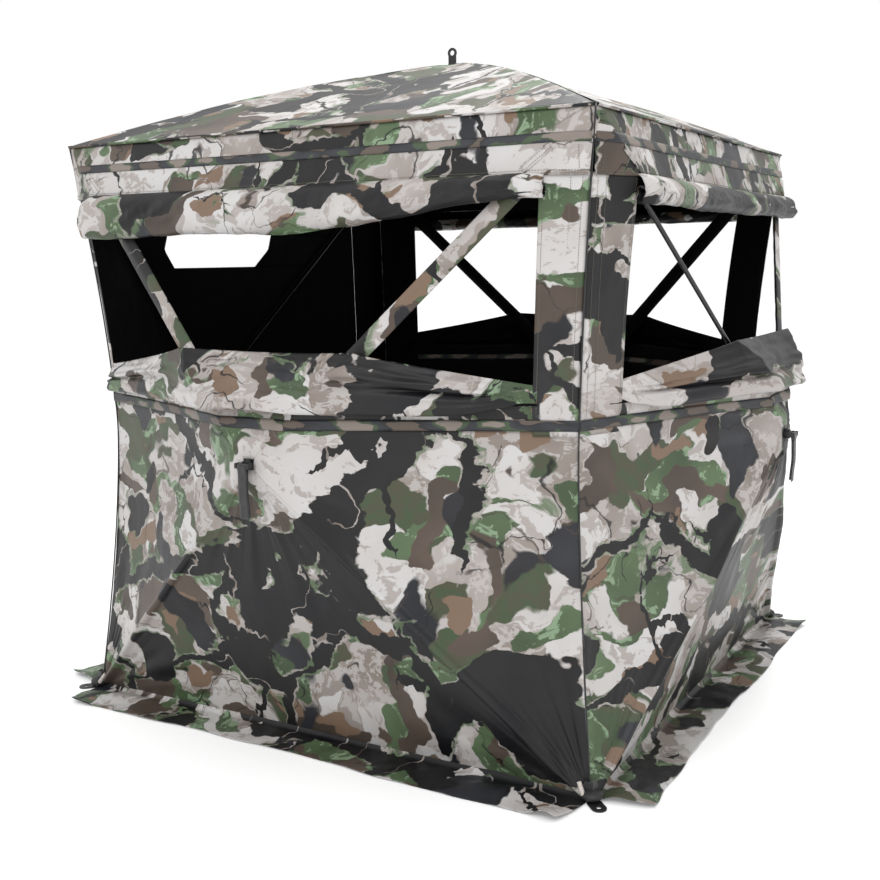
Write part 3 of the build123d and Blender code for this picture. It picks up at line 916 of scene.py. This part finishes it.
def eave_welt(wall):
    """One side of the sewn edge between roof and band: a soft rolled welt."""

    def at(i, k):
        u = HALF * (2 * i / 120 - 1)
        a = math.pi * 2 * k / 8
        v, w = EAVE_Z - 0.001 + 0.0035 * math.sin(a), HALF + 0.0045 + 0.0035 * math.cos(a)
        return place(wall, u, v, w), wall_uv(wall, u + 5.1, 0.003 * k)

    obj = clean(grid_object(f"{wall}_eave_welt", grid(range(121), 9, at)))
    obj.data.materials.append(CAMO)
    return obj


welt = joined("eave_welt", [eave_welt(wall) for wall in WALLS])
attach(welt, "shell")


# Rolled flaps, dropped flaps and skirt
ROLLS = {"front": (0.104, 0.050), "right": (0.060, 0.042), "back": (0.060, 0.042)}
WINDOW_END = 0.604  # how far a window's flaps reach behind a wide post
WINDOW_OPEN_END = 0.676  # and how far to a corner without one


def window_ends(wall, extra=0.0, tuck=0.0):
    """Both ends of a wall's flaps: extra is added at an open end, tuck behind a wide post."""
    left, right = (WINDOW_OPEN_END + extra if (wall, s) in NARROW else WINDOW_END + tuck for s, _ in SIDES)
    return -left, right


def roll_ends(wall):
    """A roll runs in behind a wide post, whose edge leans outward up there."""
    low, high = window_ends(wall, -0.012, 0.012)
    return low, high + (0.026 if wall == "front" else 0)


def roll_section(height, deep):
    """A rolled flap seen from its end, as (v, out) points: it hangs, bellies out and rolls in."""
    tall = 0.36 * height
    middle, core = VALANCE_Z - height + tall, 0.008 + deep / 2
    points = []
    for k in range(15):
        a = math.pi / 2 * (1 - k / 15)
        points.append((middle + (VALANCE_Z + 0.006 - middle) * math.sin(a),
                       0.006 + (core + deep / 2 - 0.006) * math.cos(a)))
    for k in range(53):
        a = -2 * math.pi * 1.55 * k / 52
        tight = 1 - 0.34 * k / 52
        points.append((middle + tall * tight * math.sin(a), core + deep / 2 * tight * math.cos(a)))
    return points


def with_lengths(points):
    """Adds the length of the line up to it to each point, whose last two numbers are v and out."""
    length = 0.0
    for i, point in enumerate(points):
        if i:
            length += (Vector(point[-2:]) - Vector(points[i - 1][-2:])).length
        yield *point, length


def window_roll(wall):
    """The upper flap, rolled up under the band's lower edge."""
    rows = []
    low, high = roll_ends(wall)
    seed = WALLS[wall] * 0.13
    for i in range(241):
        t = i / 240
        u = low + (high - low) * t
        height, deep = ROLLS[wall]
        if wall == "front":
            height *= 1 - 0.56 * smooth(t, 0.52, 1.0)
            deep *= 1 - 0.42 * smooth(t, 0.60, 1.0)
        height *= 1 + 0.07 * noise_at(t * 5, 1.0, seed) + 0.03 * noise_at(t * 19, 2.0, seed)
        deep *= 1 + 0.16 * noise_at(t * 6, 4.0, seed)
        deep *= 0.55 + 0.45 * smooth(min(t, 1 - t), 0.0, 0.012)
        base = cloth_out(wall, u, VALANCE_Z, 0)
        if (wall, 1 if u > 0 else -1) not in NARROW:
            base -= 0.004 * smooth(abs(u), 0.50, 0.60)
        points = []
        for k, (v, out) in enumerate(roll_section(height, deep)):
            loose = smooth(k, 2, 14)
            lines = noise_at(t * 9 + k * 0.05, k * 0.21, seed + 1) * 0.0060
            lines += noise_at(t * 34 + k * 0.16, k * 0.26, seed + 2) * 0.0034
            lines += noise_at(t * 90, k * 0.5, seed + 3) * 0.0012
            points.append((v + 0.35 * lines * loose, out + lines * loose))
        rows.append([(place(wall, u, v, base + max(out, 0.001)), wall_uv(wall, u + 7.7, -length))
                     for v, out, length in with_lengths(points)])
    obj = grid_object(f"{wall}_roll", rows)
    face_toward(obj, place(wall, 0, 0, 1), lambda index: index % 67 < 13)
    fixed_cloth(obj, outer=CAMO_LOOSE)
    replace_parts(obj, f"{wall}_window_roll")


def hem_height(wall, u):
    """The top of a dropped flap: held up at the two rods, and falling to the corners."""
    side = abs(u)
    hook = rod_line(HEM_Z)
    if side < hook:
        return HEM_Z - 0.006 * math.cos(math.pi * side / hook / 2)
    t = (side - hook) / (WINDOW_END - hook)
    fall = 0.074 if (wall, 1 if u > 0 else -1) not in NARROW else 0.060
    return HEM_Z - fall * min(1.15, t) ** 0.85


def flap_section(wall, u, seed):
    """A dropped flap seen from its end, as (v, out) points from the waist tape to the hem."""
    s = 1 if u > 0 else -1
    top = hem_height(wall, u)
    open_side = (wall, s) in NARROW
    tuck = 1.0 if open_side else 1 - smooth(abs(u), 0.46, 0.570)
    deep = 0.046 + 0.020 * noise_at(u * 3.5, 0.3, seed)
    if open_side:
        deep += 0.010 * smooth(abs(u), 0.30, 0.60)
        deep *= math.sqrt(1 - 0.94 * smooth(abs(u), 0.615, WINDOW_OPEN_END + 0.012))
    deep = 0.0035 + (deep - 0.0035) * (0.05 + 0.95 * tuck)
    low = 0.856 + 0.013 * noise_at(u * 3.1, 2.2, seed) + 0.006 * (1 - tuck)
    crease = 0.36 + 0.20 * noise_at(u * 1.9, 7.7, seed)
    points = []
    for k in range(65):
        q = k / 64
        if q < 0.16:
            t = q / 0.16
            v = WAIST_Z + 0.022 + (low + 0.012 - WAIST_Z - 0.022) * t
            out = 0.0009 + (0.0016 + 0.001 * t) * tuck
        elif q < 0.36:
            a = math.pi * (q - 0.16) / 0.20
            v = low + 0.012 * (0.5 + 0.5 * math.cos(a)) - 0.017 * math.sin(a) * tuck
            out = 0.0035 + (deep - 0.0035) * (0.5 - 0.5 * math.cos(a))
        else:
            t = min(1.0, (q - 0.36) / 0.64)
            v = low + (top - low) * t
            out = 0.004 + (deep - 0.004) * (1 - t ** 1.7)
            ridge = max(0.0, math.sin(math.pi * t)) ** 0.7 * tuck
            bag = 0.5 * noise_at(u * 2.4, t * 2.6, seed + 4)
            bag += 0.45 * noise_at(u * 5.0 + t * 2.0, t * 7.0, seed + 5)
            out += ridge * (0.026 * bag + 0.006 * noise_at(u * 15, t * 9, seed + 9))
            folded = smooth(noise_at(u * 1.7, 3.3, seed), -0.2, 0.2)
            out -= 0.020 * tuck * math.exp(-((t - crease) / 0.060) ** 2) * folded
            v -= 0.006 * ridge * noise_at(u * 4.2, t * 5.0, seed + 11)
        points.append((v, max(out, 0.0009)))
    return points


def flap_row(wall, ends, share, seed):
    """One row of a flap part from waist to hem, at a share of the way between its two edges.

    The edges lean, so each point's height and place along the wall are found together.
    """
    sections = {}
    row = []
    v = WAIST_Z
    for k in range(65):
        for _ in range(3):
            a, b = (end(v) for end in ends)
            u = round(a + (b - a) * share, 4)
            if u not in sections:
                sections[u] = flap_section(wall, u, seed)
            v, out = sections[u][k]
        row.append((u, v, out))
    return row


def lower_flap(wall):
    """The lower flap, dropped: it bags out over the waist tape and is held up again by its hem."""
    seed = WALLS[wall] * 0.11 + 0.7
    low, high = window_ends(wall)
    spans = {"left": (lambda v: low, lambda v: -rod_line(v), 76),
             "middle": (lambda v: -rod_line(v), rod_line, 60),
             "right": (rod_line, lambda v: high, 76)}
    for part, (a, b, columns) in spans.items():
        rows = []
        for i in range(columns + 1):
            points = with_lengths(flap_row(wall, (a, b), i / columns, seed))
            rows.append([(place(wall, u, v, cloth_out(wall, u, v, 0) + out),
                          wall_uv(wall, u + 9.1, length)) for u, v, out, length in points])
        obj = grid_object(f"{wall}_dropped_flap_{part}", rows)
        face_toward(obj, place(wall, 0, 0, 1), lambda index: index % 64 > 30)
        lined(obj, CAMO_LOOSE)
        follow(obj, wall, {"left": "left", "middle": "up", "right": "right"}[part])
        declare(obj)
        if part == "middle":
            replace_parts(obj, f"{wall}_lower_flap")


for wall in ("front", "right", "back"):
    window_roll(wall)
    lower_flap(wall)


def skirt(wall):
    """A loose strip along a wall's foot: a soft fold at the wall, waves, and ends that lift."""
    seed = WALLS[wall] * 0.19 + 2.0

    def at(i, k):
        t = 2 * i / 220 - 1
        s = k / 30
        end = smooth(abs(t), 0.86, 1.0)
        width = SKIRT_W + 0.014 * noise_at(t * 2.6, 0.5, seed) + 0.004 * noise_at(t * 9, 2.5, seed)
        width += 0.012 * end
        u = t * (HALF - 0.002 - 0.022 * s * s)
        w = HALF - 0.004 + s * (width + 0.004)
        foot = 0.024 * (1 - s / 0.16) ** 2 if s < 0.16 else 0.0
        lift = 0.024 * max(0.0, noise_at(t * 3.6 + s * 0.5, s * 1.1, seed + 3)) * smooth(s, 0.04, 0.4)
        lift += 0.010 * max(0.0, noise_at(t * 12, s * 1.6, seed + 5)) * smooth(s, 0.05, 0.5)
        lift += 0.030 * end * s * s * max(0.0, 0.45 + noise_at(t * 7, 1.0, seed))
        lift *= 1 - 0.55 * smooth(s, 0.75, 1.0) * (1 - end)
        return place(wall, u, 0.0022 + foot + lift, w), wall_uv(wall, u + 11.3, -s * width)

    obj = grid_object(f"{wall}_skirt", grid(range(221), 31, at))
    face_toward(obj, Vector((0, 0, 1)))
    return fixed_cloth(obj, outer=CAMO_LOOSE)


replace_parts([skirt(wall) for wall in WALLS][0], "ground_skirt")


def round_cord(name, points, radius, material):
    """A thin round cord along some points."""
    rows = []
    length = 0.0
    for i, p in enumerate(points):
        ahead = (points[min(i + 1, len(points) - 1)] - points[max(i - 1, 0)]).normalized()
        side = ahead.orthogonal().normalized() if i == 0 else (side - ahead * side.dot(ahead)).normalized()
        up = ahead.cross(side)
        length += (p - points[i - 1]).length if i else 0.0
        row = []
        for k in range(9):
            a = 2 * math.pi * k / 8
            row.append((p + (side * math.cos(a) + up * math.sin(a)) * radius, (length, 0.002 * k)))
        rows.append(row)
    obj = clean(grid_object(name, rows), 0.00005)
    obj.data.materials.append(material)
    return obj


def seam_bindings():
    """The dark binding sewn down each corner seam."""
    made = []
    for wall, corner in (("front", "front_right"), ("right", "back_right"), ("left", "front_left")):
        points = [place(wall, seam(v) + 0.001, v, cloth_out(wall, seam(v), v, 0) + 0.001)
                  for v in levels(0.012, EAVE_Z - 0.004, 0.03)]
        lifted = [p + place(wall, 1, 0, 1).normalized() * (0.0012 if p.z > WAIST_Z else 0.0) for p in points]
        made.append(round_cord(f"seam_{corner}", lifted, 0.0019, BLACK_WEB))
    binding = joined("seam_bindings", made)
    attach(binding, "shell")


seam_bindings()


# Carried-over CAD pieces get their materials; straps and sleeves get cloth
def dress(node, material):
    obj = frame["nodes"][node]
    obj.data.materials.clear()
    obj.data.materials.append(material)
    for p in obj.data.polygons:
        p.material_index = 0


def pivot_of(joint):
    return next(Vector(j["pos_m"]) for j in frame["joints"] if j["name"] == joint)


SLEEVE_FROM = 0.122  # along the rod, from its pin in the hub
SLEEVE_LONG = 0.716
SLEEVE_W = 0.043


def sleeve(wall, side):
    """A flat cloth sleeve over an upper rod: printed outside, black inside."""
    sign = -1 if side == "left" else 1
    pivot = pivot_of(f"{wall}_rod_upper_{side}_turn")
    tip = place(wall, sign * HALF, EAVE_Z, 0.722)
    along = (tip - pivot).normalized()
    out = place(wall, 0, 0, 1)
    across = out.cross(along).normalized()
    lift = along.cross(across).normalized()
    if lift.dot(out) < 0:
        lift = -lift

    def at(i, k):
        s = SLEEVE_FROM + SLEEVE_LONG * i / 80
        half = SLEEVE_W / 2 * (1 + 0.04 * noise_at(s * 9, sign * 1.0, WALLS[wall]))
        a = 2 * math.pi * k / 24
        x = math.cos(a) * half
        y = math.sin(a) * (0.0062 + 0.0022 * max(0.0, 1 - abs(math.cos(a)) * 1.4)) + 0.0008
        y += 0.0008 * noise_at(s * 30, a, 2.0)
        return (pivot + along * s + across * x + lift * y,
                wall_uv(wall, s + 13.0 * sign, x + (0.06 if y < 0 else 0.0)))

    obj = clean(grid_object(f"{wall}_rod_sleeve_{side}", grid(range(81), 25, at)), 0.00005)
    centre = pivot + along * 0.48
    total = sum((p.center - centre - along * (p.center - centre).dot(along)).dot(p.normal)
                for p in obj.data.polygons)
    if total < 0:
        obj.data.flip_normals()
    obj.data.materials.append(CAMO)
    obj.data.materials.append(LINING)
    for p in obj.data.polygons:
        p.material_index = 1 if p.normal.dot(lift) < -0.15 else 0
    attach(obj, f"{wall}_rod_upper_{side}")
    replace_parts(obj, f"{wall}_sleeve_{side}")


def pull_strap(wall):
    """A webbing loop folded through the hub's pin, its two tails sewn together."""
    pin = pivot_of(f"{wall}_strap_swing")
    out, along = place(wall, 0, 0, 1), place(wall, 1, 0, 0)
    round_pin = 0.0048

    def tail(s, way):
        """A point s down a tail: the two close in on each other and wave together."""
        apart = way * (round_pin - 0.0026 * smooth(s, 0, 0.02))
        return apart + 0.0030 * math.sin(s * 40) * smooth(s, 0.02, 0.1), -s

    bends = [math.pi * k / 12 for k in range(13)]
    points = [tail(s, 1) for s in np.linspace(0.122, 0.004, 22)]
    points += [(math.cos(a) * round_pin, math.sin(a) * round_pin) for a in bends]
    points += [tail(s, -1) for s in np.linspace(0.004, 0.118, 22)]
    rows = []
    length = 0.0
    for i, (x, z) in enumerate(points):
        if i:
            length += math.hypot(x - points[i - 1][0], z - points[i - 1][1])
        row = []
        for k in range(7):
            y = (k / 6 - 0.5) * 0.0255
            row.append((pin + out * x + along * y + Vector((0, 0, z)), (length, y)))
        rows.append(row)
    obj = grid_object(f"{wall}_pull_loop", rows)
    obj.data.materials.append(BLACK_WEB)
    thicken(obj, 0.0014, 0)
    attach(obj, f"{wall}_strap")
    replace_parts(obj, f"{wall}_pull_strap")
    declare(obj)


for wall in WALLS:
    dress(f"{wall}_hub", PLASTIC)
    pull_strap(wall)
    for rod in ("upper_left", "upper_right", "lower_left", "lower_right"):
        dress(f"{wall}_rod_{rod}", FIBRE)
    for side in ("left", "right"):
        if f"{wall}_sleeve_{side}" in frame["nodes"]:
            sleeve(wall, side)
for corner in ("front_left", "front_right", "back_left", "back_right"):
    dress(f"roof_rod_{corner}", FIBRE)
for node in ("roof_hub", "roof_pull_tab", "corner_boots"):
    dress(node, PLASTIC)


def corner_boot(sx, sy, name):
    """The black webbing boot that holds the lower rods' tips, folded round the corner."""

    def at(i, k):
        z = 0.004 + 0.040 * i / 14
        t = 2 * k / 24 - 1
        reach = 0.030 * (1 - 0.35 * (z / 0.044) ** 2)
        x = HALF + 0.010 - max(0.0, t) * reach - 0.0030 * (1 - abs(t)) ** 2
        y = HALF + 0.010 - max(0.0, -t) * reach - 0.0030 * (1 - abs(t)) ** 2
        return Vector((sx * x, sy * y, z)), (t * 0.03, z)

    obj = face_out(grid_object(name, grid(range(15), 25, at)), Vector((0, 0, 0.02)))
    obj.data.materials.append(BLACK_WEB)
    thicken(obj, 0.0022, 0)
    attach(obj, "shell")
    declare(obj)


TOE_R = 0.026


def boot_toe(sx, sy, name):
    """The boot's rounded toe under the corner, and the pale end of the rod in it."""
    middle = sx * (HALF + 0.004), sy * (HALF + 0.004), 0.0140

    def at(i, k):
        a = math.pi * i / 16
        b = 2 * math.pi * k / 32
        x = TOE_R * math.sin(a) * math.cos(b)
        y = TOE_R * math.sin(a) * math.sin(b)
        z = 0.0135 * math.cos(a) * (1 + 0.06 * noise_at(b * 3, a * 4, 1.0))
        return Vector((middle[0] + x, middle[1] + y, middle[2] + z)), (b * 0.02, a * 0.02)

    toe = face_out(clean(grid_object(f"{name}_toe", grid(range(17), 33, at)), 0.00005), Vector(middle))
    toe.data.materials.append(RUBBER)
    tip = [Vector((sx * (HALF - 0.024 + 0.001 * k), sy * (HALF + 0.010 + 0.0007 * k), 0.040 - 0.0016 * k))
           for k in range(16)]
    return toe, round_cord(f"{name}_tip", tip, 0.0058, TIP)


toes, tips = [], []
for sx, sy, name in ((1, -1, "boot_front_right"), (1, 1, "boot_back_right"), (-1, 1, "boot_back_left"),
                     (-1, -1, "boot_front_left")):
    corner_boot(sx, sy, name)
    toe, tip = boot_toe(sx, sy, name)
    toes.append(toe)
    tips.append(tip)
for piece, slot in ((joined("boot_toes", toes), "black_webbing"), (joined("rod_tips", tips), "fibreglass")):
    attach(piece, "shell")


# Stage, light and camera
def stage():
    bpy.ops.mesh.primitive_plane_add(size=60, location=(0, 0, -0.0005))
    floor = bpy.context.object
    floor.name = "floor"
    n = Nodes("floor_white")
    n.look((0.92, 0.92, 0.92), 0.9)
    n.shader.inputs["Emission Color"].default_value = (1, 1, 1, 1)
    n.shader.inputs["Emission Strength"].default_value = 0.16
    n.shader.inputs["Specular IOR Level"].default_value = 0.1
    floor.data.materials.append(n.material)
    world = bpy.data.worlds.new("white")
    bpy.context.scene.world = world
    world.use_nodes = True
    world.node_tree.nodes["Background"].inputs["Color"].default_value = (1, 1, 1, 1)
    world.node_tree.nodes["Background"].inputs["Strength"].default_value = 1.0


def lamp(name, at, aim, size, power):
    data = bpy.data.lights.new(name, "AREA")
    data.shape = "SQUARE"
    data.size = size
    data.energy = power
    obj = bpy.data.objects.new(name, data)
    bpy.context.scene.collection.objects.link(obj)
    obj.location = at
    obj.rotation_euler = (Vector(aim) - Vector(at)).to_track_quat("-Z", "Y").to_euler()


def camera():
    data = bpy.data.cameras.new("camera")
    data.lens = CAMERA_LENS
    data.sensor_width = 36
    obj = bpy.data.objects.new("camera", data)
    bpy.context.scene.collection.objects.link(obj)
    obj.location = CAMERA_AT
    yaw, pitch, roll = (math.radians(x) for x in (CAMERA_YAW, CAMERA_PITCH, CAMERA_ROLL))
    forward = Vector((-math.sin(yaw) * math.cos(pitch), math.cos(yaw) * math.cos(pitch), math.sin(pitch)))
    turn = forward.to_track_quat("-Z", "Y").to_matrix() @ Euler((0, 0, roll)).to_matrix()
    obj.rotation_euler = turn.to_euler()
    bpy.context.scene.camera = obj


stage()
lamp("key", (2.6, -4.4, 4.6), (0, 0, 0.9), 3.0, 120)
lamp("fill", (-4.5, -2.5, 2.6), (0, 0, 0.8), 3.5, 30)
lamp("top", (0.3, 1.2, 4.4), (0, 0, 1.4), 2.5, 110)
camera()
bpy.context.scene.view_settings.view_transform = "Standard"
